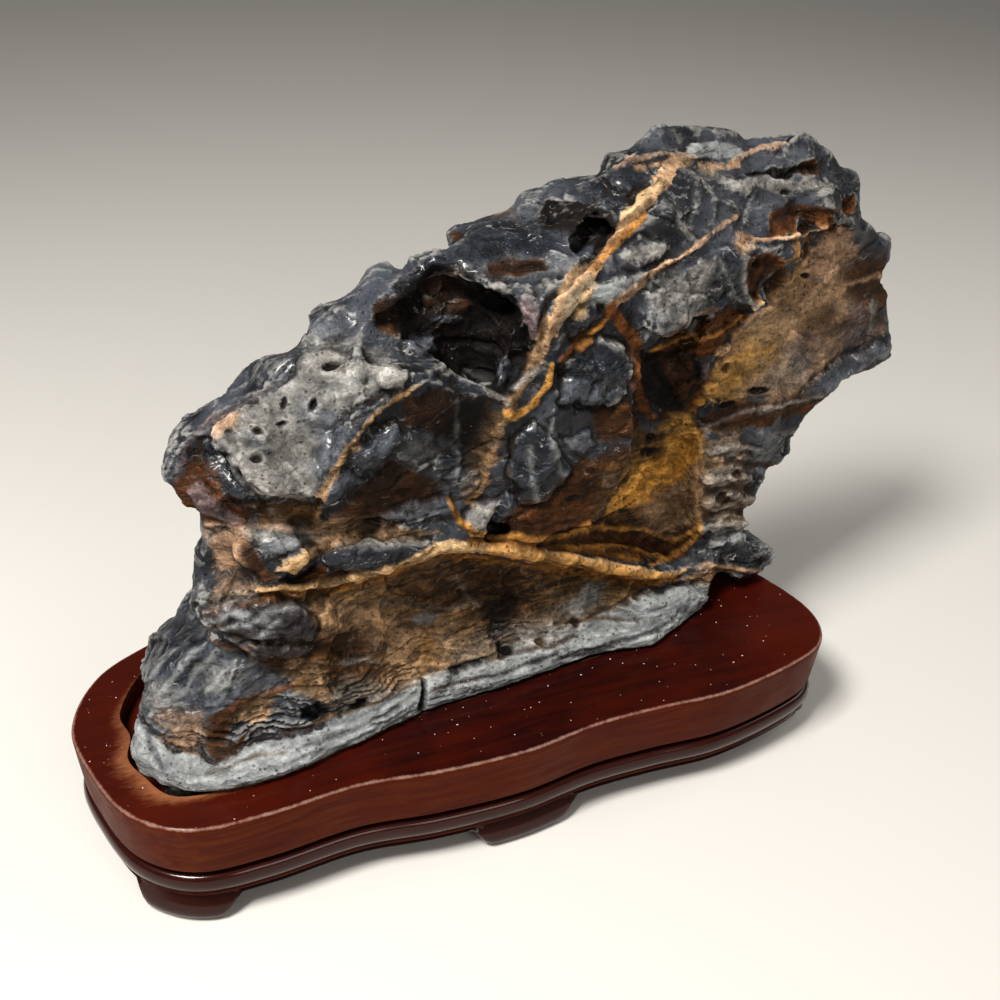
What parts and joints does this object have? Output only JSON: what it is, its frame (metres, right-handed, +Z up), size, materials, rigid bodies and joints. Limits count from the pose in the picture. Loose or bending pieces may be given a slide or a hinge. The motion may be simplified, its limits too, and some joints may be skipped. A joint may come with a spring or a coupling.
{
  "type": "scholar's rock on wooden stand",
  "caption": "Dark limestone viewing stone with a leaning crest, hollows, ochre veins and a thin wing, standing in the carved seat of a low kidney-shaped lacquered wooden stand.",
  "frame": {"origin": "on the surface it stands on, under the middle of the whole object's box", "axes": "+X along the stand towards the stone's wing, +Y to the back of the stand, +Z up"},
  "size_m": [0.2408, 0.0784, 0.1653],
  "materials": {
    "limestone": "dark blue-grey limestone, half matt, with pale dust, ochre veins and brown hollows",
    "lacquered_wood": "dark red-brown lacquer, glossy on the moulding, worn at the edges"
  },
  "bodies": {
    "root": {"rock": "limestone", "stand": "lacquered_wood"}
  },
  "joints": []
}
